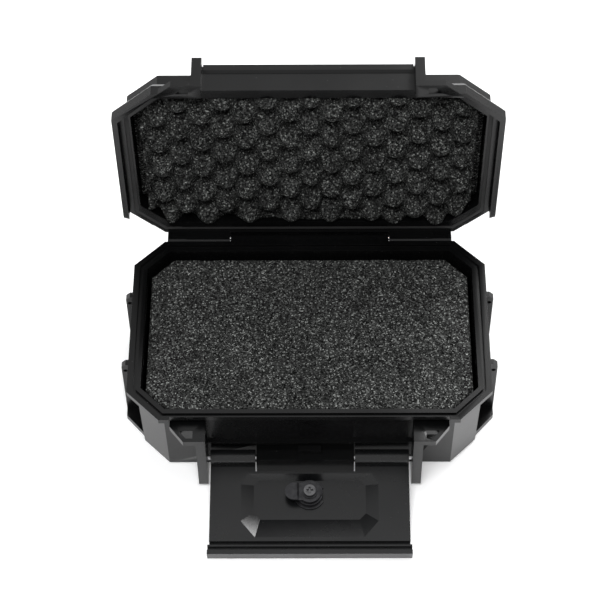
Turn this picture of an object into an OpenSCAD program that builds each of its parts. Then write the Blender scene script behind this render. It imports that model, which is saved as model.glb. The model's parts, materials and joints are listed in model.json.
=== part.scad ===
// Hard case for binoculars: an eight-sided moulded base and lid, a folding front latch
// plate with a cam lock, and foam inside. Millimetres, +Z up, front (latch) towards -Y.
// The origin is the centre of the flat underside. The case is drawn open, as it stands
// when loaded: the lid upright, the latch plate folded down in front.

/* [Base] */
// Width of the base over its rim
rim_w = 220; // [180:1:280]
// Depth of the base over its rim, front to back
rim_d = 133.5; // [120:0.5:170]
// Height of the rim's top above the floor
base_h = 60; // [54:0.5:80]
// Length of the front corner cut, along either side
front_cut = 20; // [16:0.5:26]
// Length of the rear corner cut, along either side
rear_cut = 18.5; // [16:0.5:24]
// How far the rim stands out past the side walls
rim_out = 5.8; // [4:0.1:7]
// How far the rim stands out past the front and rear walls
rim_out_y = 5; // [4.4:0.1:6]
// Height of the rim's edge
rim_t = 3.6; // [3:0.1:5]
// Wall thickness of the shells
wall = 2.6; // [2:0.1:3.2]
// Floor thickness of the base and top thickness of the lid
floor_t = 3; // [2:0.1:4]
// Inward lean of the base's walls over their height
draft = 1.2; // [0:0.1:2]
// Bevel along the bottom edge
foot_bevel = 1.5; // [0.5:0.1:2.5]
// Width of the groove in the rim's top
groove_w = 1.8; // [1:0.1:2.4]
// Depth of the groove in the rim's top
groove_t = 1.8; // [0.8:0.1:2.4]
// Distance of the groove from the rim's edge
groove_in = 3.7; // [3:0.1:4.2]

/* [Lid] */
// Height of the lid above the parting plane
lid_h = 25.2; // [24:0.1:45]
// Height of the rim that stands up inside the lid
overlap = 7; // [6:0.1:8]
// How far the lid's skirt stands out past the base's rim at the sides
skirt_out = 6.2; // [3.5:0.1:8]
// How far the lid's skirt stands out past the base's rim in front
skirt_out_y = 3.9; // [3.6:0.1:5]
// Thickness of the lid's skirt
skirt_t = 3.4; // [2:0.1:3.4]
// Height of the skirt's outer face
skirt_h = 6.6; // [5:0.1:8]
// Inset of the lid's opening from the base's rim edge
mouth_in = 4.2; // [3.4:0.1:5]
// How far the lid's front and rear walls are set back from the base's rim
lid_set_y = 5.35; // [5:0.05:7]
// Bevel along the top edge of the lid
lid_bevel = 2.2; // [1:0.1:3]

/* [Hinge] */
// Radius of the hinge knuckles
knuckle_r = 4; // [3:0.1:4.4]
// Height of the hinge axis above the parting plane
hinge_up = 1.5; // [1:0.1:2]
// Half length of the base's middle hinge knuckle
knuckle_half = 50; // [30:1:70]
// Half length of the whole hinge
hinge_half = 90; // [80:1:91]
// Radius of the hinge and latch pins
pin_r = 1.5; // [1:0.1:2]
// Length of each hinge pin
hinge_pin_l = 64; // [50:1:70]

/* [Guards, tabs and side lugs] */
// Gap between the two front guards
guard_gap = 124.4; // [110:0.2:140]
// Thickness of a guard
guard_t = 5.8; // [4:0.1:8]
// How far the guards stand out in front of the rim
guard_out = 10.85; // [10:0.05:14]
// Thickness of the padlock tabs
tab_t = 4.2; // [3:0.1:5]
// Length of a padlock hole, front to back
lock_hole_l = 5.2; // [4.8:0.1:6]
// Thickness of a side fin, front to back
fin_t = 4; // [3:0.1:6]
// Distance between the front faces of the two side fins
fin_pitch = 50.9; // [40:0.1:60]
// Place of the front fin's front face, measured from the middle
front_fin_y = -22.5; // [-26:0.1:-18]
// How far the fins stand out past the rim
fin_out = 5; // [4.4:0.1:6]
// Diameter of the strap hole in a fin
eye_d = 2.6; // [1.5:0.1:3]
// Thickness of the web between the feet of the fins
web_t = 4; // [3:0.1:6]

/* [Latch] */
// Height of the latch pivot above the floor
pivot_z = 18; // [16:0.5:20]
// Distance from the pivot to the far edge of the hook bar
latch_l = 62.3; // [60:0.1:80]
// Radius of the latch barrels
barrel_r = 4.8; // [3.6:0.1:4.9]
// Side clearance of the latch plate between the guards
latch_side = 1.7; // [1:0.1:3]
// Left edge of the latch's middle knuckle
mid_left = -32.5; // [-40:0.5:-20]
// Right edge of the latch's middle knuckle
mid_right = 27; // [20:0.5:40]
// Length of each latch pin
latch_pin_l = 52; // [46:1:60]
// Distance from the pivot to the lock's axis
lock_u = 22.8; // [22:0.1:24]
// Radius of the lock's barrel
lock_r = 7.9; // [7:0.1:8.4]
// Length of the cam from the lock's axis to its tip
cam_l = 15; // [14:0.1:15.6]
// Width of the cam
cam_w = 11; // [8:0.1:12]

/* [Foam] */
// Depth of the base foam's top below the rim
foam_down = 5; // [3:0.5:10]
// Thickness of the loose pad under the base foam
pad_t = 8; // [5:0.5:15]
// Gap between the base foam and the walls
foam_gap = 1.4; // [0.5:0.1:4]
// Spacing of the lid foam's peaks along a row
peak_pitch = 26; // [20:0.5:30]
// Spacing of the lid foam's rows
row_pitch = 12; // [10:0.1:18]
// How far the rows are set towards the rear
row_shift = 3.9; // [-5:0.1:5]
// Slant of the rows, forward on the right, in degrees
row_turn = 2.4; // [0:0.1:3]
// Height of the lid foam's peaks above its valleys
peak_h = 13; // [6:0.5:14]

/* [Hidden] */
$fn = 64;
eps = 0.01;

// The pose that is drawn: the lid upright, the latch plate's far edge just off the ground
lid_open = 90;
latch_tilt = 9.3;

// Clearances
fit_gap = 0.3;
front_gap = 0.45;
hinge_gap = 0.45;
pin_gap = 0.06;
end_gap = 0.6;

// Heights and planes worked out from the sizes above
part_z = base_h - overlap;
rim_bottom = base_h - rim_t;
lid_top = part_z + lid_h;
rim_y = rim_d / 2;
wall_y = rim_y - rim_out_y;
wall_x = rim_w / 2 - rim_out;
mouth_y = wall_y - wall;
mouth_x = wall_x - wall;
// A corner cut shrinks by this share of the inset when all sides move in alike
cut_share = 2 - sqrt(2);
notch = 2;
guard_in = guard_gap / 2;
guard_x = guard_in + guard_t;
front_y = -rim_y - guard_out;
tab_end = guard_x + 7.3;
tab_slope = 8.4;
notch_x = tab_end + tab_slope;

// Lid planes, closed
skirt_x = rim_w / 2 + skirt_out;
skirt_y = -rim_y - skirt_out_y;
boss_y = -rim_y + notch - front_gap - wall;
stop_z = part_z - fit_gap;
seat_z = base_h + fit_gap;
gasket_t = 1.2;
seat_t = 2.2;
lid_wall_x = rim_w / 2 - mouth_in + wall;
lid_wall_y = rim_y - lid_set_y;
hinge_y = rim_y + knuckle_r + hinge_gap;
hinge_z = part_z + hinge_up;
skirt_rear = hinge_y - 1.7;
lid_front_cut = 24.8;
lid_rear_cut = 24.2;
lid_lean = 0.93;
lip_top = lid_top - 1.1;
lip_h = 4.3;
lip_out = 1.7;
lid_in_top = lid_top - floor_t;
front_wall_z = seat_z - 1.9;
cut_top = seat_z - part_z + 0.25;
end_slope_l = 26;
end_cut_l = 44;
end_cut_w = 30;

// Latch planes, measured outward from the pivot when closed
pivot_y = boss_y + 0.55;
pad_w = 0.9;
skin_w = 4.4;
skin_t = 2.5;
floor_w = 5;
outer_w = 8;
pad_u0 = 15.7;
pad_u1 = 53.7;
ledge_t = 2.7;
band_u = latch_l - 7.1;
ledge_u = latch_l - ledge_t;
latch_x = guard_in - latch_side;
bar_x = guard_in - end_gap;
oct_top = 10.3;
oct_bottom = 51.2;

// Lock planes, measured the same way
barrel_end = 1;
hub_w = 0.1;
hub_t = 1.4;
cam_jog = 0.9;
washer_t = 0.7;
head_t = 2;
cross_l = 4;
cross_w = 1;
tail = 4.6;
plug_r = lock_r - 2.7;
clip_depth = 1;
clip_t = 1.1;
wafer_pitch = 1.5;
wafer_w0 = 2;
wafer_t = 0.8;
wafer_size = [3, 6];
wafer_window = [1.6, 3];
keeper_w = 1.3;
keeper_t = 1.4;
keeper_half = 7;
block_z = 6;
keeper_top = pivot_z + oct_top - 0.4;

// Foam planes
foam_top = base_h - foam_down;
peak_z = foam_top + 0.8;
valley_z = peak_z + peak_h;
foam_side_gap = 0.8;
peak_tip_r = 2.6;
peak_foot_r = norm([peak_pitch / 2, row_pitch]) / 2 - 0.8;
peak_x_max = lid_wall_x - wall - foam_side_gap - peak_foot_r;
peak_y_max = lid_wall_y - wall - foam_side_gap - peak_foot_r;
peak_corner_cut = 15;
peak_rows = floor((peak_y_max + abs(row_shift)) / row_pitch);
peaks_across = floor(2 * peak_x_max / peak_pitch) + 1;

// An eight-sided outline: half width, front, rear, the two corner cuts, and the share of
// the front cut that is taken along the sides
module outline(hx, yf, yr, cf, cr, lean = 1)
    polygon([[-hx + cf, yf], [hx - cf, yf], [hx, yf + cf * lean], [hx, yr - cr],
        [hx - cr, yr], [-hx + cr, yr], [-hx, yr - cr], [-hx, yf + cf * lean]]);

// The rim's outline moved in by dx at the sides and dy in front and behind
module rim_outline(dx, dy)
    outline(rim_w / 2 - dx, -rim_y + dy, rim_y - dy,
        front_cut - cut_share * (dx + dy) / 2, rear_cut - cut_share * (dx + dy) / 2);

module slab(z, t) translate([0, 0, z]) linear_extrude(t) children();

// A prism along X between x0 and x1, from an outline drawn in Y and Z
module along_x(x0, x1)
    translate([x0, 0, 0]) rotate([90, 0, 90]) linear_extrude(x1 - x0) children();

module rod_x(x0, x1, y, z, r)
    translate([x0, y, z]) rotate([0, 90, 0]) cylinder(h = x1 - x0, r = r);

module both_sides() {
    children();
    mirror([1, 0, 0]) children();
}

// Puts what is drawn closed into its open place
module on_lid()
    translate([0, hinge_y, hinge_z]) rotate([-lid_open, 0, 0])
        translate([0, -hinge_y, -hinge_z]) children();

module on_latch()
    translate([0, pivot_y, pivot_z]) rotate([90 + latch_tilt, 0, 0]) children();

// A block on the latch plate: x0 to x1, u along the plate, w outward
module latch_box(x0, x1, u0, u1, w0, w1)
    translate([x0, -w1, u0]) cube([x1 - x0, w1 - w0, u1 - u0]);

// A round piece on the lock's axis, from w0 out to w1
module lock_disc(w0, w1, r)
    translate([0, -w0, lock_u]) rotate([90, 0, 0]) cylinder(h = w1 - w0, r = r);

module lock_prism(w0, w1)
    translate([0, -w0, lock_u]) rotate([90, 0, 0]) linear_extrude(w1 - w0) children();

// Upper outline of a padlock tab, and the hole in it
module tab_outline(grow)
    polygon([[guard_x - 1, -wall_y + 1], [notch_x + grow, -wall_y + 1],
        [notch_x + grow, -rim_y - grow * 0.8], [tab_end + grow, front_y], [guard_x - 1, front_y]]);

module lock_hole() {
    y0 = -rim_y - 3.2;
    x0 = guard_x + 1.7;
    polygon([[x0, y0], [x0 + 8, y0], [x0 + 4.2, y0 - lock_hole_l], [x0, y0 - lock_hole_l]]);
}

module base_body()
    difference() {
        hull() {
            slab(0, eps) rim_outline(rim_out + draft + foot_bevel, rim_out_y + draft + foot_bevel);
            slab(foot_bevel, eps) rim_outline(rim_out + draft, rim_out_y + draft);
            slab(rim_bottom + 1, eps) rim_outline(rim_out, rim_out_y);
        }
        hull() {
            slab(floor_t, eps) rim_outline(rim_out + draft + wall, rim_out_y + draft + wall);
            slab(base_h, 1) rim_outline(rim_out + wall, rim_out_y + wall);
        }
    }

module base_rim()
    difference() {
        slab(rim_bottom, rim_t) rim_outline(0, 0);
        slab(rim_bottom - 1, rim_t + 2) rim_outline(rim_out + wall, rim_out_y + wall);
        slab(base_h - groove_t, groove_t + 1) difference() {
            rim_outline(groove_in, groove_in * 0.8);
            rim_outline(groove_in + groove_w, groove_in * 0.8 + groove_w);
        }
        translate([-notch_x, -rim_y - 1, rim_bottom - 1]) cube([2 * notch_x, notch + 1, rim_t + 2]);
    }

// A front guard, rounded at its foot
module guard()
    along_x(guard_in, guard_x) {
        r = 5;
        steps = 6;
        polygon(concat([[-wall_y + 1, 0], [-wall_y + 1, stop_z], [front_y, stop_z]],
            [for (i = [0:steps]) let (a = 180 + 90 * i / steps)
                [front_y + r + r * cos(a), r + r * sin(a)]]));
    }

module padlock_tab()
    slab(stop_z - tab_t, tab_t) difference() {
        tab_outline(0);
        lock_hole();
    }

// One side fin with its strap hole; y is the front face
module fin(y) {
    x1 = rim_w / 2 + fin_out;
    c = 2.5;
    difference() {
        translate([0, y + fin_t, 0]) rotate([90, 0, 0]) linear_extrude(fin_t)
            polygon([[wall_x - 3, 0], [x1, 0], [x1, stop_z - c], [x1 - c, stop_z],
                [wall_x - 3, stop_z]]);
        translate([x1 - eye_d / 2 - 1, y - 1, stop_z - 6]) rotate([-90, 0, 0])
            cylinder(h = fin_t + 2, d = eye_d);
    }
}

// The web joining the feet of the fins to the corners of the base
module side_web()
    slab(0, web_t) {
        x1 = rim_w / 2 + fin_out;
        xi = wall_x - draft - 3;
        yf = front_fin_y - 5;
        yr = front_fin_y + fin_pitch + fin_t + 1;
        polygon([[xi, -rim_y + front_cut + 2], [x1, yf], [x1, yr], [xi, rim_y - rear_cut - 2]]);
    }

module hinge_web()
    along_x(-knuckle_half, knuckle_half)
        polygon([[wall_y - 1, part_z - 12], [hinge_y - 2, part_z - 4.5], [hinge_y + 1.2, hinge_z - 3.8],
            [hinge_y, hinge_z + knuckle_r - 0.2], [wall_y - 1, hinge_z + knuckle_r - 0.2]]);

// The middle latch knuckle, square in section, with the lock's keeper on top
module latch_block() {
    translate([mid_left, pivot_y - barrel_r, block_z])
        cube([mid_right - mid_left, barrel_r - pivot_y - wall_y + 1, pivot_z + barrel_r - block_z]);
    keeper_y = pivot_y - keeper_w;
    translate([-keeper_half, keeper_y, pivot_z + 3])
        cube([2 * keeper_half, -keeper_y - wall_y + 1.2, 4.4]);
    translate([-keeper_half, keeper_y, pivot_z + 3])
        cube([2 * keeper_half, keeper_t, keeper_top - pivot_z - 3]);
}

module base_shell()
    color("#1c1d1f") difference() {
        union() {
            base_body();
            base_rim();
            both_sides() {
                guard();
                padlock_tab();
                fin(front_fin_y);
                fin(front_fin_y + fin_pitch);
                side_web();
            }
            rod_x(-knuckle_half, knuckle_half, hinge_y, hinge_z, knuckle_r);
            hinge_web();
            latch_block();
            translate([-guard_in - 1, -wall_y - 1.2, pivot_z + 8.5]) cube([guard_gap + 2, 3, 2]);
        }
        both_sides() rod_x(hinge_half - hinge_pin_l, knuckle_half + 1, hinge_y, hinge_z, pin_r + pin_gap);
        pin_end = guard_x - 0.8;
        rod_x(pin_end - latch_pin_l, guard_x + 1, pivot_y, pivot_z, pin_r + pin_gap);
        rod_x(-guard_x - 1, latch_pin_l - pin_end, pivot_y, pivot_z, pin_r + pin_gap);
    }

module base_floor_pad()
    color("#2e3032") slab(floor_t, pad_t)
        rim_outline(rim_out + wall + draft + foam_gap, rim_out_y + wall + draft + foam_gap);

module base_foam()
    color("#37393b") slab(floor_t + pad_t, foam_top - floor_t - pad_t)
        rim_outline(rim_out + wall + draft + foam_gap, rim_out_y + wall + draft + foam_gap);

module hinge_pin(side)
    color("#a8abad") mirror([side < 0 ? 1 : 0, 0, 0])
        rod_x(hinge_half - hinge_pin_l + 0.5, hinge_half - 0.5, hinge_y, hinge_z, pin_r);

module hinge_pin_left() hinge_pin(-1);
module hinge_pin_right() hinge_pin(1);

module latch_pin(side)
    color("#a8abad") mirror([side < 0 ? 1 : 0, 0, 0])
        rod_x(guard_x - 0.3 - latch_pin_l, guard_x - 0.8, pivot_y, pivot_z, pin_r);

module latch_pin_left() latch_pin(-1);
module latch_pin_right() latch_pin(1);

// Outline of the lid's skirt, moved in by d
module skirt_outline(d)
    outline(skirt_x - d, skirt_y + d, skirt_rear, lid_front_cut - cut_share * d,
        lid_rear_cut - cut_share * d, lid_lean);

module lid_walls_outline(d)
    outline(lid_wall_x - d, -lid_wall_y + d, lid_wall_y - d,
        front_cut - 0.7 - cut_share * d, rear_cut - cut_share * d, lid_lean);

// The lid's box from outside, without its hollow
module lid_box()
    hull() {
        slab(seat_z + 1, eps) lid_walls_outline(0);
        slab(lid_top - lid_bevel, eps) lid_walls_outline(0);
        slab(lid_top - eps, eps) lid_walls_outline(lid_bevel);
    }

// The skirt: a seat over the base's rim and a wall that hangs down outside it
module lid_skirt()
    difference() {
        hull() {
            slab(part_z, skirt_h) skirt_outline(0);
            slab(seat_z + seat_t - eps, eps) skirt_outline(1.9);
        }
        slab(part_z - 1, seat_z - part_z + 1) lid_socket();
        translate([-guard_in, skirt_y - 1, part_z - 1])
            cube([guard_gap, boss_y - skirt_y + 1, lid_h]);
        translate([-guard_in, boss_y - 1, part_z - 1])
            cube([guard_gap, wall + 3, front_wall_z - part_z + 1]);
        both_sides() skirt_end_cut();
    }

// The space in the skirt for the base's rim
module lid_socket()
    difference() {
        outline(skirt_x - skirt_t, -rim_y - front_gap, rim_y + end_gap,
            lid_front_cut - cut_share * skirt_t - 1, rear_cut - 1);
        translate([-guard_in, -rim_y - 5]) square([guard_gap, 5 + notch - front_gap]);
    }

// The skirt runs out to nothing along the rear corners
module skirt_end_cut()
    translate([skirt_x + 1, skirt_rear - lid_rear_cut - 1, part_z]) rotate([0, 0, 135])
        rotate([90, 0, 0]) translate([0, 0, -end_cut_w / 2 + 3]) linear_extrude(end_cut_w)
            polygon([[0, -1], [end_cut_l, -1], [end_cut_l, cut_top], [end_slope_l, cut_top], [0, 0]]);

module prong()
    along_x(guard_in, guard_x)
        polygon([[front_y, part_z], [front_y, lid_top - 3], [front_y + 3, lid_top],
            [-lid_wall_y + 1, lid_top], [-lid_wall_y + 1, seat_z + 0.4],
            [skirt_y + 1.5, seat_z + 0.4], [skirt_y + 1.5, part_z]]);

module lid_tab()
    slab(part_z, tab_t) difference() {
        intersection() {
            tab_outline(4.3);
            translate([0, front_y - 1]) square([rim_w, skirt_y + 1 - front_y + 1]);
        }
        lock_hole();
    }

module catch_lip()
    along_x(-guard_in + 0.5, guard_in - 0.5)
        polygon([[boss_y + 1, lip_top - lip_h - 1], [boss_y, lip_top - lip_h - 1],
            [boss_y - lip_out, lip_top - lip_h], [boss_y - lip_out, lip_top], [boss_y + 1, lip_top]]);

module lid_boss()
    translate([-guard_in, boss_y, seat_z + 0.5])
        cube([guard_gap, -lid_wall_y + 1 - boss_y, lip_top - seat_z - 0.5]);

module lid_solid()
    difference() {
        union() {
            lid_box();
            lid_skirt();
            both_sides() {
                prong();
                lid_tab();
                rod_x(knuckle_half + end_gap, hinge_half, hinge_y, hinge_z, knuckle_r);
            }
            hinge_arm();
            catch_lip();
            lid_boss();
        }
        slab(part_z - 1, lid_in_top - part_z + 1) lid_walls_outline(wall);
    }

// The arm along the lid's rear that carries the outer knuckles
module hinge_arm()
    along_x(-hinge_half, hinge_half)
        polygon([[hinge_y - 3.5, hinge_z], [hinge_y + 3.9, hinge_z], [hinge_y - 1, seat_z + 6],
            [lid_wall_y - 1, seat_z + 6], [lid_wall_y - 1, seat_z + 0.6],
            [hinge_y - 3.5, seat_z + 0.6]]);

// Room in the lid for the base's middle knuckle
module knuckle_room() {
    x1 = knuckle_half + end_gap;
    top = hinge_z + knuckle_r + 0.4;
    translate([-x1, rim_y + fit_gap, part_z - 1]) cube([2 * x1, 10, top - part_z + 1]);
}

module lid_shell()
    color("#1c1d1f") on_lid() difference() {
        lid_solid();
        both_sides() rod_x(knuckle_half, hinge_half - 0.2, hinge_y, hinge_z, pin_r + pin_gap);
        gasket_ring(0.1, 1);
        knuckle_room();
    }

// The seal's ring in the seat, grown by g; extra lowers the cut's open side
module gasket_ring(g, extra)
    slab(seat_z - extra, gasket_t + extra) difference() {
        rim_outline(0.6 - g, 0.6 - g);
        rim_outline(2.8 + g, 2.8 + g);
    }

module lid_gasket()
    color("#3a3b3c") on_lid() gasket_ring(0, 0);

// One row of the lid foam's peaks, each an eight-sided cone with a flat tip. A peak stays
// inside the sheet, and is left out where it would stand past a cut corner.
module peak_row(row_y, count)
    for (i = [0:count - 1]) {
        x = (i - (count - 1) / 2) * peak_pitch;
        y = max(-peak_y_max, min(peak_y_max, row_y - x * tan(row_turn)));
        if (abs(x) + abs(y) < peak_x_max + peak_y_max - peak_corner_cut)
            translate([x, y, peak_z])
                cylinder(h = peak_h + 1, r1 = peak_tip_r, r2 = peak_foot_r, $fn = 8);
    }

// The lid foam: a sheet against the lid's top, with offset rows of peaks
module lid_foam()
    color("#333537") on_lid() {
        slab(valley_z, lid_in_top - valley_z) lid_walls_outline(wall + foam_side_gap);
        for (j = [-peak_rows:peak_rows])
            peak_row(j * row_pitch + row_shift, j % 2 == 0 ? peaks_across : peaks_across - 1);
    }

// Half outlines of the latch plate's recess: outer edge and floor
module recess_outline(hx, ht, hb, u0, us, ul, u1)
    polygon([[-ht, u0], [ht, u0], [hx, us], [hx, ul], [hb, u1], [-hb, u1], [-hx, ul], [-hx, us]]);

module recess_hollow()
    rotate([90, 0, 0]) hull() {
        translate([0, 0, pad_w - 1])
            linear_extrude(1) recess_outline(41.7, 37.7, 33, oct_top, oct_top + 7, 40.8, oct_bottom);
        translate([0, 0, floor_w - eps])
            linear_extrude(eps) recess_outline(34, 31, 30.2, 13.6, 16.5, 34.6, 38.6);
    }

// The outward side of the recess, a shallow raised panel
module recess_back()
    rotate([90, 0, 0]) hull() {
        translate([0, 0, pad_w])
            linear_extrude(eps)
                recess_outline(43.6, 39, 34.6, oct_top - 1.6, oct_top + 6, 41.6, oct_bottom + 1.6);
        translate([0, 0, outer_w - eps])
            linear_extrude(eps) recess_outline(38, 34.4, 31.8, 11.6, 15.2, 37.6, 43);
    }

module latch_plate()
    color("#1f2022") on_latch() difference() {
        union() {
            difference() {
                union() {
                    latch_box(-latch_x, latch_x, 0, pad_u0 + 1, 2, 2 + skin_t + 0.4);
                    latch_box(-latch_x, latch_x, 6, band_u, skin_w, skin_w + skin_t);
                    latch_box(-latch_x, latch_x, pad_u0, pad_u1, pad_w, skin_w + 0.5);
                    latch_barrels();
                }
                latch_box(mid_left - 0.7, mid_right + 0.7, -10, oct_top, -10, 10);
            }
            recess_back();
            hook_bar();
        }
        recess_hollow();
        latch_box(-keeper_half - 1, keeper_half + 1, 0, oct_top, -5, 3);
        lock_disc(pad_w, outer_w + 1, lock_r + 0.05);
        both_sides() rotate([0, 90, 0]) cylinder(h = latch_x + 1, r = pin_r + pin_gap);
    }

module latch_barrels() {
    rod_x(-latch_x, mid_left - 0.7, 0, 0, barrel_r);
    rod_x(mid_right + 0.7, latch_x, 0, 0, barrel_r);
}

// The hook bar along the far edge: a skin, and a ledge that goes over the lid's lip
module hook_bar() {
    latch_box(-bar_x, bar_x, band_u, latch_l, skin_w + 0.5, skin_w + skin_t + 0.5);
    latch_box(-bar_x, bar_x, ledge_u, latch_l, -0.6, skin_w + 1);
    latch_box(-bar_x, bar_x, band_u, band_u + 1.2, pad_w + 1.7, skin_w + 1);
}

module lock_body()
    color("#26272a") on_latch() difference() {
        union() {
            lock_disc(outer_w, outer_w + 1.9, lock_r + 1.9);
            lock_disc(barrel_end, outer_w + 0.5, lock_r);
        }
        lock_disc(barrel_end - 1, outer_w + 3, plug_r + pin_gap);
        clip_groove(clip_depth + 0.1, 0.1);
    }

module clip_groove(depth, g)
    difference() {
        lock_disc(floor_w - clip_t - g, floor_w, lock_r + 1);
        lock_disc(floor_w - clip_t - g - 1, floor_w + 1, lock_r - depth);
    }

// The horseshoe spring clip behind the plate's floor
module lock_clip()
    color("#6d6f70") on_latch() difference() {
        lock_disc(floor_w - clip_t, floor_w - 0.05, lock_r + 1.5);
        lock_disc(floor_w - clip_t - 1, floor_w + 1, lock_r - clip_depth + 0.1);
        lock_prism(floor_w - clip_t - 1, floor_w + 1)
            polygon([[0, 0], [20, -10.5], [20, 10.5]]);
    }

module lock_plug()
    color("#8b8d8e") on_latch() difference() {
        union() {
            lock_disc(barrel_end, outer_w + 1.7, plug_r);
            lock_prism(hub_w - hub_t + 0.05, barrel_end + 1) square(tail, center = true);
        }
        lock_prism(barrel_end + 1.4, outer_w + 3) square([1.8, 7], center = true);
        for (i = [0:3])
            lock_prism(wafer_w0 + i * wafer_pitch - 0.1, wafer_w0 + i * wafer_pitch + wafer_t + 0.1)
                square([wafer_size[0] + 0.2, wafer_size[1] + 3], center = true);
        lock_disc(-5, barrel_end + 1, 1.2);
    }

module lock_wafers()
    color("#b59a52") on_latch()
        for (i = [0:3])
            lock_prism(wafer_w0 + i * wafer_pitch, wafer_w0 + i * wafer_pitch + wafer_t)
                difference() {
                    translate([0, (i % 2) * 0.5 - 1.15]) square(wafer_size, center = true);
                    square(wafer_window, center = true);
                }

module wafer_springs()
    color("#a8abad") on_latch()
        for (i = [0:3])
            translate([0, -wafer_w0 - i * wafer_pitch - 0.4, lock_u + 2.5])
                difference() {
                    cylinder(h = 1.8, r = 0.4, $fn = 24);
                    translate([0, 0, -1]) cylinder(h = 4, r = 0.2, $fn = 24);
                }

module lock_stop_washer()
    color("#7c7e80") on_latch() difference() {
        union() {
            lock_disc(hub_w + 0.1, barrel_end - 0.05, 6.6);
            lock_prism(hub_w + 0.1, barrel_end - 0.05) translate([4, -1.5]) square([3.6, 3]);
        }
        lock_prism(hub_w - 1, barrel_end + 1) square(tail + 0.1, center = true);
    }

module cam_profile()
    polygon([[0, hub_w], [-6.8, hub_w], [-8.2, hub_w - cam_jog], [-cam_l, hub_w - cam_jog],
        [-cam_l, hub_w - cam_jog - hub_t], [-7.8, hub_w - cam_jog - hub_t],
        [-6.4, hub_w - hub_t], [0, hub_w - hub_t]]);

// The cam: a round hub and a jogged arm with a round tip, pointing left
module lock_cam()
    color("#303236") on_latch() difference() {
        union() {
            lock_disc(hub_w - hub_t, hub_w, 6.9);
            intersection() {
                translate([0, 0, lock_u - cam_w / 2]) linear_extrude(cam_w)
                    mirror([0, 1, 0]) cam_profile();
                union() {
                    lock_disc(-6, 3, 0.5);
                    translate([-cam_l + cam_w / 2, 0, lock_u]) rotate([90, 0, 0])
                        cylinder(h = 12, r = cam_w / 2, center = true);
                    translate([-cam_l + cam_w / 2, -6, lock_u - cam_w / 2])
                        cube([cam_l - cam_w / 2, 12, cam_w]);
                }
            }
        }
        lock_prism(-6, 3) square(tail + 0.1, center = true);
    }

module cam_washer()
    color("#55585b") on_latch() difference() {
        lock_disc(hub_w - hub_t - washer_t, hub_w - hub_t, 4.7);
        lock_disc(-6, 3, 1.3);
    }

// The cam screw, with a cross recess in its head
module cam_screw()
    color("#3b3d40") on_latch() difference() {
        union() {
            w1 = hub_w - hub_t - washer_t;
            lock_disc(w1 - head_t, w1, 3.7);
            lock_disc(w1 - 1, barrel_end + 0.8, 1.15);
        }
        for (a = [0, 90])
            lock_prism(-6, hub_w - hub_t - washer_t - 0.6)
                rotate(a) square([cross_l, cross_w], center = true);
    }

base_shell();
base_foam();
base_floor_pad();
hinge_pin_left();
hinge_pin_right();
latch_pin_left();
latch_pin_right();
lid_shell();
lid_gasket();
lid_foam();
latch_plate();
lock_body();
lock_clip();
lock_plug();
lock_wafers();
wafer_springs();
lock_stop_washer();
lock_cam();
cam_washer();
cam_screw();
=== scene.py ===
"""The looks of the binocular hard case: moulded shells, foam linings, latch plate and cam lock."""

import json
import math

import bmesh
import bpy
from mathutils import Matrix, Vector, noise


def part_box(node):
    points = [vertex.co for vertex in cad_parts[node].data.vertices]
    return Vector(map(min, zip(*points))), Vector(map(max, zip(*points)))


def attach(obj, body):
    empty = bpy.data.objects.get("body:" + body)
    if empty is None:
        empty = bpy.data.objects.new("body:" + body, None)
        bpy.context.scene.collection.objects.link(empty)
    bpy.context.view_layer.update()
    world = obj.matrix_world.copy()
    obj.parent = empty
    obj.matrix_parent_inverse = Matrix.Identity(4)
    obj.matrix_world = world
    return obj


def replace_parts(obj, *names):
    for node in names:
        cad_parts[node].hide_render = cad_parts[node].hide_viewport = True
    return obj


MM = 0.001
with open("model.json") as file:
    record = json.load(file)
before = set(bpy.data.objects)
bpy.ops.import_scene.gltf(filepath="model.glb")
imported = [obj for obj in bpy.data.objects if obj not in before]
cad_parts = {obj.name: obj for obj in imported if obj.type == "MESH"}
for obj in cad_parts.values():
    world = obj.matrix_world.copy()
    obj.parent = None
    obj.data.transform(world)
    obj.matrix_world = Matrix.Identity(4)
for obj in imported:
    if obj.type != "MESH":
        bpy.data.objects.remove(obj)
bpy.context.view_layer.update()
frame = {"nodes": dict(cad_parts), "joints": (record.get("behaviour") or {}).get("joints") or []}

# Places that the frame gives
HINGE = next(j for j in frame["joints"] if j["name"] == "lid_hinge")
HINGE_Y, HINGE_Z = HINGE["pos_m"][1], HINGE["pos_m"][2]
BASE_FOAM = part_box("base_foam")

# The photograph's camera, fitted to the corners of the rims
FRAME_PX = 610
FOCAL_PX = 2007.2
ELEVATION = 0.94965
ROLL = -0.01272
YAW = -0.01245
SHIFT_M = (0.00255092, 0.01327212, 1.23231263)
RIM_CENTRE = Vector((0, 0.00085, 0.060))
SENSOR_MM = 36


def make_camera():
    """The camera stands where the photograph was taken from."""
    se, ce = math.sin(ELEVATION), math.cos(ELEVATION)
    sy, cy = math.sin(YAW), math.cos(YAW)
    right = Vector((cy, -sy, 0))
    down = Vector((-se * sy, -se * cy, -ce))
    ahead = Vector((ce * sy, ce * cy, -se))
    place = RIM_CENTRE - right * SHIFT_M[0] - down * SHIFT_M[1] - ahead * SHIFT_M[2]
    cr, sr = math.cos(ROLL), math.sin(ROLL)
    right, down = right * cr - down * sr, right * sr + down * cr
    data = bpy.data.cameras.new("camera")
    data.sensor_width = SENSOR_MM
    data.lens = FOCAL_PX / FRAME_PX * SENSOR_MM
    data.clip_start, data.clip_end = 0.05, 20
    cam = bpy.data.objects.new("camera", data)
    axes = (right, -down, -ahead)
    cam.matrix_world = Matrix(
        [[a[i] for a in axes] + [place[i]] for i in range(3)] + [[0, 0, 0, 1]]
    )
    bpy.context.scene.collection.objects.link(cam)
    bpy.context.scene.camera = cam


# Materials


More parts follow.
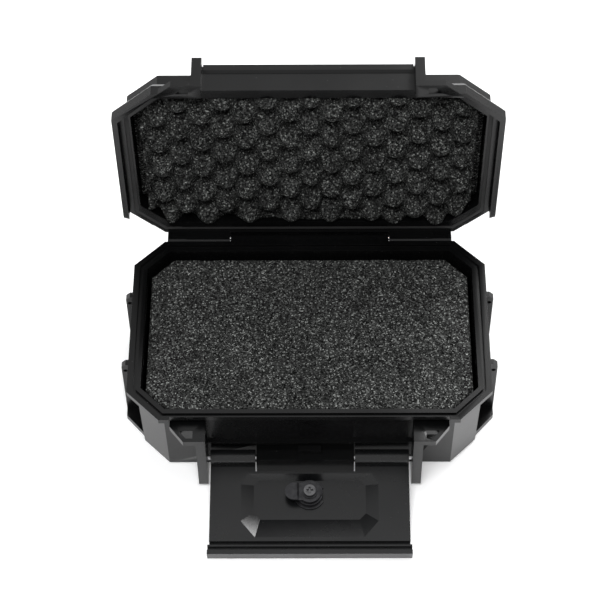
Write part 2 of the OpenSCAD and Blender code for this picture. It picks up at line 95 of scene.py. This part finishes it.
def new_material(name):
    """A fresh node material: returns it, its nodes, its links and its shader."""
    mat = bpy.data.materials.new(name)
    mat.use_nodes = True
    nodes, links = mat.node_tree.nodes, mat.node_tree.links
    return mat, nodes, links, nodes["Principled BSDF"]


def add_node(nodes, kind, **values):
    node = nodes.new(kind)
    for key, value in values.items():
        if hasattr(node, key):
            setattr(node, key, value)
        else:
            node.inputs[key].default_value = value
    return node


def ramp(nodes, links, source, stops):
    """A colour ramp from (place, colour) stops, fed by a socket."""
    node = nodes.new("ShaderNodeValToRGB")
    band = node.color_ramp
    while len(band.elements) > 1:
        band.elements.remove(band.elements[-1])
    band.elements[0].position, band.elements[0].color = stops[0][0], (*stops[0][1], 1)
    for place, colour in stops[1:]:
        band.elements.new(place).color = (*colour, 1)
    links.new(source, node.inputs["Fac"])
    return node.outputs["Color"]


def to_range(nodes, links, source, low, high, start=0.0, end=1.0):
    node = add_node(nodes, "ShaderNodeMapRange")
    node.inputs["From Min"].default_value = start
    node.inputs["From Max"].default_value = end
    node.inputs["To Min"].default_value = low
    node.inputs["To Max"].default_value = high
    links.new(source, node.inputs["Value"])
    return node.outputs["Result"]


def bump(nodes, links, source, strength, distance, normal=None):
    node = add_node(nodes, "ShaderNodeBump")
    node.inputs["Strength"].default_value = strength
    node.inputs["Distance"].default_value = distance
    links.new(source, node.inputs["Height"])
    if normal is not None:
        links.new(normal, node.inputs["Normal"])
    return node.outputs["Normal"]


def plastic(name, colour, rough, grain=1.0, sheen=0.5):
    """Moulded plastic: a fine spark-eroded grain, slight flow mottling and a few dust specks."""
    mat, nodes, links, shader = new_material(name)
    where = nodes.new("ShaderNodeTexCoord").outputs["Object"]
    fine = add_node(nodes, "ShaderNodeTexNoise", Scale=2600.0, Detail=3.0)
    broad = add_node(nodes, "ShaderNodeTexNoise", Scale=26.0, Detail=4.0)
    dust = add_node(nodes, "ShaderNodeTexVoronoi", Scale=150.0)
    for node in (fine, broad, dust):
        links.new(where, node.inputs["Vector"])
    low = [c * 0.82 for c in colour]
    high = [c * 1.2 for c in colour]
    base = ramp(nodes, links, broad.outputs["Fac"], [(0.3, low), (0.7, high)])
    speck = to_range(nodes, links, dust.outputs["Distance"], 1.0, 0.0, 0.02, 0.045)
    mix = add_node(nodes, "ShaderNodeMix", data_type="RGBA")
    mix.inputs[7].default_value = (0.05, 0.05, 0.05, 1)
    links.new(speck, mix.inputs[0])
    links.new(base, mix.inputs[6])
    links.new(mix.outputs[2], shader.inputs["Base Color"])
    shader.inputs["Specular IOR Level"].default_value = sheen
    links.new(
        to_range(nodes, links, broad.outputs["Fac"], rough - 0.05, rough + 0.07),
        shader.inputs["Roughness"],
    )
    links.new(
        bump(nodes, links, fine.outputs["Fac"], 0.12 * grain, 0.00004),
        shader.inputs["Normal"],
    )
    return mat


FOAM_CELL = 1300.0


def open_foam(name, dark, light, spark, cell=FOAM_CELL):
    """Open-cell foam: each cell has its own tone, darkened towards the cell borders as painted
    shade in the pores between the cut walls.
    """
    mat, nodes, links, shader = new_material(name)
    where = nodes.new("ShaderNodeTexCoord").outputs["Object"]
    cells = add_node(nodes, "ShaderNodeTexVoronoi", Scale=cell)
    clump = add_node(nodes, "ShaderNodeTexNoise", Scale=cell * 0.45, Detail=2.0)
    patch = add_node(nodes, "ShaderNodeTexNoise", Scale=45.0, Detail=3.0)
    for node in (cells, clump, patch):
        links.new(where, node.inputs["Vector"])
    parts = nodes.new("ShaderNodeSeparateColor")
    links.new(cells.outputs["Color"], parts.inputs["Color"])
    tone = ramp(
        nodes, links, parts.outputs["Red"],
        [(0.0, dark), (0.55, light), (0.86, [c * 2.1 for c in light]), (1.0, spark)],
    )
    # painted shade: each cell darkens towards its border to stand in for the shade inside the
    # foam's pores
    painted_pore_shade = to_range(nodes, links, cells.outputs["Distance"], 1.0, 0.35, 0.25, 0.8)
    cloud = to_range(nodes, links, clump.outputs["Fac"], 0.55, 1.45, 0.3, 0.7)
    broad = to_range(nodes, links, patch.outputs["Fac"], 0.85, 1.15, 0.3, 0.7)
    scale = painted_pore_shade
    for factor in (cloud, broad):
        product = add_node(nodes, "ShaderNodeMath", operation="MULTIPLY")
        links.new(scale, product.inputs[0])
        links.new(factor, product.inputs[1])
        scale = product.outputs[0]
    shaded = nodes.new("ShaderNodeVectorMath")
    shaded.operation = "SCALE"
    links.new(tone, shaded.inputs[0])
    links.new(scale, shaded.inputs["Scale"])
    links.new(shaded.outputs[0], shader.inputs["Base Color"])
    shader.inputs["Roughness"].default_value = 1.0
    shader.inputs["Specular IOR Level"].default_value = 0.0
    links.new(
        bump(nodes, links, cells.outputs["Distance"], 0.7, 0.0005),
        shader.inputs["Normal"],
    )
    return mat


def metal(name, colour, rough, metallic=1.0, scratch=0.25):
    """Plated or drawn metal with fine handling scratches."""
    mat, nodes, links, shader = new_material(name)
    where = nodes.new("ShaderNodeTexCoord").outputs["Object"]
    stretch = add_node(nodes, "ShaderNodeMapping")
    stretch.inputs["Scale"].default_value = (500.0, 3200.0, 3200.0)
    lines = add_node(nodes, "ShaderNodeTexNoise", Scale=1.0, Detail=4.0)
    cloud = add_node(nodes, "ShaderNodeTexNoise", Scale=350.0, Detail=2.0)
    links.new(where, stretch.inputs["Vector"])
    links.new(stretch.outputs["Vector"], lines.inputs["Vector"])
    links.new(where, cloud.inputs["Vector"])
    low = [c * 0.75 for c in colour]
    high = [min(1.0, c * 1.25) for c in colour]
    links.new(
        ramp(nodes, links, cloud.outputs["Fac"], [(0.3, low), (0.7, high)]),
        shader.inputs["Base Color"],
    )
    shader.inputs["Metallic"].default_value = metallic
    links.new(
        to_range(nodes, links, lines.outputs["Fac"], rough - 0.08, rough + 0.12),
        shader.inputs["Roughness"],
    )
    links.new(
        bump(nodes, links, lines.outputs["Fac"], scratch, 0.00002),
        shader.inputs["Normal"],
    )
    return mat


# Meshes


def mesh_object(name, bm, material, body):
    """A smooth-shaded object from a bmesh, riding on its body."""
    mesh = bpy.data.meshes.new(name)
    bmesh.ops.recalc_face_normals(bm, faces=bm.faces[:])
    bm.to_mesh(mesh)
    bm.free()
    for poly in mesh.polygons:
        poly.use_smooth = True
    obj = bpy.data.objects.new(name, mesh)
    bpy.context.scene.collection.objects.link(obj)
    mesh.materials.append(material)
    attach(obj, body)
    return obj


JOIN = 8e-5  # Vertices of the CAD mesh closer than this are one


def dressed(node, name, material, body, slot, edge, segments=2, angle=28):
    """A copy of a CAD node's mesh with its flat faces whole and its edges rounded."""
    bm = bmesh.new()
    bm.from_mesh(frame["nodes"][node].data)
    bmesh.ops.remove_doubles(bm, verts=bm.verts[:], dist=JOIN)
    bmesh.ops.dissolve_degenerate(bm, dist=JOIN / 2, edges=bm.edges[:])
    bmesh.ops.dissolve_limit(
        bm, angle_limit=math.radians(0.6), verts=bm.verts[:], edges=bm.edges[:]
    )
    for edge_of in bm.edges:
        sharp = edge_of.calc_face_angle(0) > math.radians(angle)
        edge_of.smooth = not sharp
    obj = mesh_object(name, bm, material, body)
    round_off = obj.modifiers.new("edges", "BEVEL")
    round_off.width = edge
    round_off.segments = segments
    round_off.limit_method = "ANGLE"
    round_off.angle_limit = math.radians(angle)
    round_off.miter_outer = "MITER_ARC"
    round_off.harden_normals = True
    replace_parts(obj, node)
    return obj


class Octagon:
    """An eight-sided outline by its half width, front, rear and corner cuts."""

    def __init__(self, half, front, rear, front_cut, rear_cut):
        self.half, self.front, self.rear = half, front, rear
        self.front_cut, self.rear_cut = front_cut, rear_cut

    def half_at(self, y):
        return min(
            self.half,
            self.half - self.front_cut + (y - self.front),
            self.half - self.rear_cut + (self.rear - y),
        )

    def depth(self, x, y):
        """How far a point lies inside the outline."""
        slope = math.sqrt(0.5)
        return min(
            self.half - abs(x),
            y - self.front,
            self.rear - y,
            (self.half - self.front_cut - abs(x) + y - self.front) * slope,
            (self.half - self.rear_cut - abs(x) + self.rear - y) * slope,
        )


def sheet_rows(outline, step):
    """Row places from front to rear that include the outline's corners."""
    marks = [outline.front, outline.front + outline.front_cut]
    marks += [outline.rear - outline.rear_cut, outline.rear]
    rows = [marks[0]]
    for low, high in zip(marks, marks[1:]):
        count = max(1, round((high - low) / step))
        rows += [low + (high - low) * (i + 1) / count for i in range(count)]
    return rows


def foam_block(name, outline, height, underside, step, material, body, place, skirt=None):
    """A foam block: height(x, y) is its face, underside its back, place() sets it in the frame.

    skirt lists (growth across, height) steps that the sides pass through instead of going
    straight to the back.
    """
    bm = bmesh.new()
    rows = sheet_rows(outline, step)
    columns = max(8, round(2 * outline.half / step))
    grid = []
    for y in rows:
        half = outline.half_at(y)
        line = []
        for i in range(columns + 1):
            x = half * (2 * i / columns - 1)
            line.append(bm.verts.new(place(x, y, height(x, y))))
        grid.append(line)
    for a, b in zip(grid, grid[1:]):
        for i in range(columns):
            bm.faces.new((a[i], a[i + 1], b[i + 1], b[i]))
    rim = (
        grid[0]
        + [line[-1] for line in grid[1:]]
        + grid[-1][-2::-1]
        + [line[0] for line in grid[-2:0:-1]]
    )
    spots = []
    spots += [
        (outline.half_at(rows[0]) * (2 * i / columns - 1), rows[0]) for i in range(columns + 1)
    ]
    spots += [(outline.half_at(y), y) for y in rows[1:]]
    spots += [
        (outline.half_at(rows[-1]) * (2 * i / columns - 1), rows[-1])
        for i in range(columns - 1, -1, -1)
    ]
    spots += [(-outline.half_at(y), y) for y in rows[-2:0:-1]]
    levels = skirt or [(0.0, underside)]
    ring = rim
    for out, z in levels:
        spread = []
        for x, y in spots:
            spread.append(bm.verts.new(place(x + x * out / outline.half, y, z)))
        for i in range(len(ring)):
            k = (i + 1) % len(ring)
            bm.faces.new((ring[i], spread[i], spread[k], ring[k]))
        ring = spread
    bm.faces.new(list(reversed(ring)))
    return mesh_object(name, bm, material, body)


def upright(x, y, z):
    """From the closed lid's frame to its open place."""
    return Vector((x, HINGE_Y + z - HINGE_Z, HINGE_Z - (y - HINGE_Y)))


def level(x, y, z):
    """The base stands as it is built."""
    return Vector((x, y, z))


# The foam linings
BASE_FRONT_CUT = 14.5 * MM
BASE_REAR_CUT = 13.5 * MM
BASE_STEP = 1.25 * MM
BASE_ROUND = 1.6 * MM
BASE_WAVE = 0.5 * MM
BASE_EDGE_WAVE = 0.35 * MM
BASE_EDGE_W = 6 * MM
BASE_PROUD = 0.1 * MM
SCORE_PITCH = 12.5 * MM
SCORE_DEPTH = 0.35 * MM
SCORE_HALF = 0.7 * MM
PEAK_PITCH = 26 * MM
ROW_PITCH = 12.0 * MM
ROW_SHIFT = -3.9 * MM
PEAK_SHIFT = 1.2 * MM
ROW_TURN = math.radians(2.4)
LOBE_FULL = 1.35
PEAK_Z = 55.8 * MM
PEAK_H = 15.5 * MM
PEAK_PROUD = 0.4 * MM
PEAK_BEND = 1.6 * MM
PEAK_RIPPLE = 0.9 * MM
SHEET_Z = 64 * MM
LID_HALF = 100.5 * MM
LID_DEPTH = 58 * MM
LID_CUT = 16.5 * MM
LID_STEP = 1.3 * MM
LID_BACK_Z = 75.2 * MM
LID_SPREAD = 4.4 * MM
LID_FLARE_Z = SHEET_Z + 5 * MM
LID_FLAT_Z = SHEET_Z + 5.5 * MM


def base_foam(material):
    """The block in the base: edges a little rounded, its top faintly scored and not quite flat."""
    low, high = BASE_FOAM
    outline = Octagon(high.x, low.y, high.y, BASE_FRONT_CUT, BASE_REAR_CUT)
    top = high.z

    def score(v):
        near = abs((v / SCORE_PITCH + 0.5) % 1 - 0.5) * SCORE_PITCH
        return max(0.0, 1 - near / SCORE_HALF)

    def height(x, y):
        inside = outline.depth(x, y)
        drop = 0.0
        if inside < BASE_ROUND:
            drop = BASE_ROUND - math.sqrt(max(0.0, BASE_ROUND**2 - (BASE_ROUND - inside) ** 2))
        wave = noise.noise(Vector((x * 38, y * 38, 0))) * BASE_WAVE
        edge_wave = noise.noise(Vector((x * 120, y * 120, 7))) * BASE_EDGE_WAVE
        cut = max(score(x), score(y)) * SCORE_DEPTH
        return top + BASE_PROUD + wave + edge_wave * (inside < BASE_EDGE_W) - drop - cut

    return foam_block(
        "base_foam_block", outline, height, low.z, BASE_STEP, material, "base", level
    )


def lid_foam(material):
    """The egg-crate foam in the lid, its peaks towards the base."""
    outline = Octagon(LID_HALF, -LID_DEPTH, LID_DEPTH, LID_CUT, LID_CUT)
    slant = math.tan(ROW_TURN)

    def height(x, y):
        bend = noise.noise(Vector((x * 18, y * 18, 9))) * PEAK_BEND
        v = y + ROW_SHIFT + x * slant + bend
        u = x - PEAK_SHIFT - bend
        wave = -math.cos(2 * math.pi * u / PEAK_PITCH) * math.cos(math.pi * v / ROW_PITCH)
        share = 1 - (0.5 - 0.5 * wave) ** LOBE_FULL
        ripple = noise.noise(Vector((x * 60, y * 60, 3))) * PEAK_RIPPLE
        return PEAK_Z + PEAK_PROUD + PEAK_H * (1 - share) + ripple

    skirt = [(0.0, LID_FLARE_Z), (LID_SPREAD, LID_FLAT_Z), (LID_SPREAD, LID_BACK_Z)]
    return foam_block(
        "lid_foam_crate", outline, height, LID_BACK_Z, LID_STEP, material, "lid",
        upright, skirt,
    )


# Lights, floor and backdrop


def area_light(name, place, aim, size, power, mirrored):
    """A soft lamp; only a mirrored one shows in glossy surfaces."""
    data = bpy.data.lights.new(name, "AREA")
    data.shape = "RECTANGLE"
    data.size, data.size_y = size
    data.energy = power
    obj = bpy.data.objects.new(name, data)
    obj.location = place
    obj.rotation_mode = "QUATERNION"
    obj.rotation_quaternion = (Vector(aim) - Vector(place)).to_track_quat("-Z", "Y")
    obj.visible_glossy = mirrored
    bpy.context.scene.collection.objects.link(obj)
    return obj


def camera_or_mirror(nodes, links):
    """1 for rays that see the surface straight, in a mirror or through glass."""
    path = nodes.new("ShaderNodeLightPath")
    seen = path.outputs["Is Camera Ray"]
    for ray in ("Is Glossy Ray", "Is Transmission Ray"):
        add = add_node(nodes, "ShaderNodeMath", operation="MAXIMUM")
        links.new(seen, add.inputs[0])
        links.new(path.outputs[ray], add.inputs[1])
        seen = add.outputs[0]
    return seen


def make_world():
    """A dim studio that is white where it is seen."""
    world = bpy.data.worlds.new("studio")
    bpy.context.scene.world = world
    world.use_nodes = True
    nodes, links = world.node_tree.nodes, world.node_tree.links
    plain = nodes["Background"]
    plain.inputs["Color"].default_value = (1, 1, 1, 1)
    plain.inputs["Strength"].default_value = 0.13
    white = nodes.new("ShaderNodeBackground")
    white.inputs["Strength"].default_value = 1.0
    mix = nodes.new("ShaderNodeMixShader")
    seen = camera_or_mirror(nodes, links)
    links.new(seen, mix.inputs[0])
    links.new(plain.outputs[0], mix.inputs[1])
    links.new(white.outputs[0], mix.inputs[2])
    links.new(mix.outputs[0], nodes["World Output"].inputs["Surface"])


def make_floor():
    """A plain pale floor that keeps the case's shadow."""
    mat, nodes, links, shader = new_material("floor")
    shader.inputs["Base Color"].default_value = (0.86, 0.86, 0.865, 1)
    shader.inputs["Roughness"].default_value = 0.9
    shader.inputs["Specular IOR Level"].default_value = 0.0
    glow = nodes.new("ShaderNodeEmission")
    glow.inputs["Strength"].default_value = 0.25
    add = nodes.new("ShaderNodeAddShader")
    mix = nodes.new("ShaderNodeMixShader")
    seen = camera_or_mirror(nodes, links)
    links.new(shader.outputs[0], add.inputs[0])
    links.new(glow.outputs[0], add.inputs[1])
    links.new(seen, mix.inputs[0])
    links.new(shader.outputs[0], mix.inputs[1])
    links.new(add.outputs[0], mix.inputs[2])
    links.new(mix.outputs[0], nodes["Material Output"].inputs["Surface"])
    bm = bmesh.new()
    bmesh.ops.create_grid(bm, x_segments=1, y_segments=1, size=4.0)
    mesh = bpy.data.meshes.new("floor")
    bm.to_mesh(mesh)
    bm.free()
    mesh.materials.append(mat)
    floor = bpy.data.objects.new("floor", mesh)
    bpy.context.scene.collection.objects.link(floor)


make_camera()
make_world()
make_floor()
area_light("key", (-0.15, -0.75, 1.7), (0, 0, 0.08), (0.9, 0.5), 26, False)
area_light("top", (0.1, 0.3, 1.9), (0, 0, 0.05), (1.2, 0.8), 12, False)
area_light("side", (-1.6, -0.3, 0.9), (0, 0, 0.06), (0.9, 1.0), 5, False)
area_light("glint", (0.76, 1.03, 1.32), (0, -0.05, 0.05), (0.7, 0.5), 26, True)

shell_black = plastic("shell_black", (0.0022, 0.0023, 0.0024), 0.24, sheen=0.35)
latch_black = plastic("latch_black", (0.0035, 0.0037, 0.0040), 0.26, 0.6)
seal_black = plastic("seal_black", (0.02, 0.02, 0.02), 0.75, 2.0)
foam_grey = open_foam(
    "foam_grey", dark=(0.006,) * 3, light=(0.038, 0.039, 0.038), spark=(0.26, 0.27, 0.26)
)
pin_steel = metal("pin_steel", (0.62, 0.62, 0.63), 0.24)
lock_steel = metal("lock_steel", (0.05, 0.05, 0.053), 0.3, 0.9)
screw_steel = metal("screw_steel", (0.16, 0.16, 0.165), 0.28)
spring_steel = metal("spring_steel", (0.34, 0.34, 0.35), 0.3)
brass = metal("wafer_brass", (0.56, 0.42, 0.18), 0.3)

SHELL_EDGE = 0.35 * MM
for row in (
    ("base_shell", "base_moulding", shell_black, "base", "shell_plastic", SHELL_EDGE),
    ("lid_shell", "lid_moulding", shell_black, "lid", "shell_plastic", SHELL_EDGE),
    ("latch_plate", "latch_moulding", latch_black, "latch", "latch_plastic", 0.25 * MM, 2, 11),
    ("lid_gasket", "lid_seal", seal_black, "lid", "seal_rubber", 0.3 * MM),
    ("lock_body", "lock_barrel", lock_steel, "latch", "lock_steel", 0.2 * MM),
    ("lock_cam", "lock_arm", lock_steel, "lock", "cam_steel", 0.18 * MM),
    ("cam_screw", "cam_screw_head", screw_steel, "lock", "lock_steel", 0.15 * MM),
    ("cam_washer", "cam_screw_washer", lock_steel, "lock", "washer_steel", 0.12 * MM),
    ("lock_clip", "lock_spring_clip", lock_steel, "latch", "spring_steel", 0.1 * MM),
    ("lock_stop_washer", "lock_stop", lock_steel, "lock", "washer_steel", 0.1 * MM),
):
    dressed(*row)

for node, material in (
    ("hinge_pin_left", pin_steel),
    ("hinge_pin_right", pin_steel),
    ("latch_pin_left", pin_steel),
    ("latch_pin_right", pin_steel),
    ("lock_plug", spring_steel),
    ("lock_wafers", brass),
    ("wafer_springs", spring_steel),
):
    mesh = frame["nodes"][node].data
    mesh.materials.clear()
    mesh.materials.append(material)

dressed("base_floor_pad", "base_floor_sheet", foam_grey, "base", "foam", 0.6 * MM)
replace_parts(base_foam(foam_grey), "base_foam")
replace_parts(lid_foam(foam_grey), "lid_foam")

bpy.context.scene.view_settings.view_transform = "Standard"
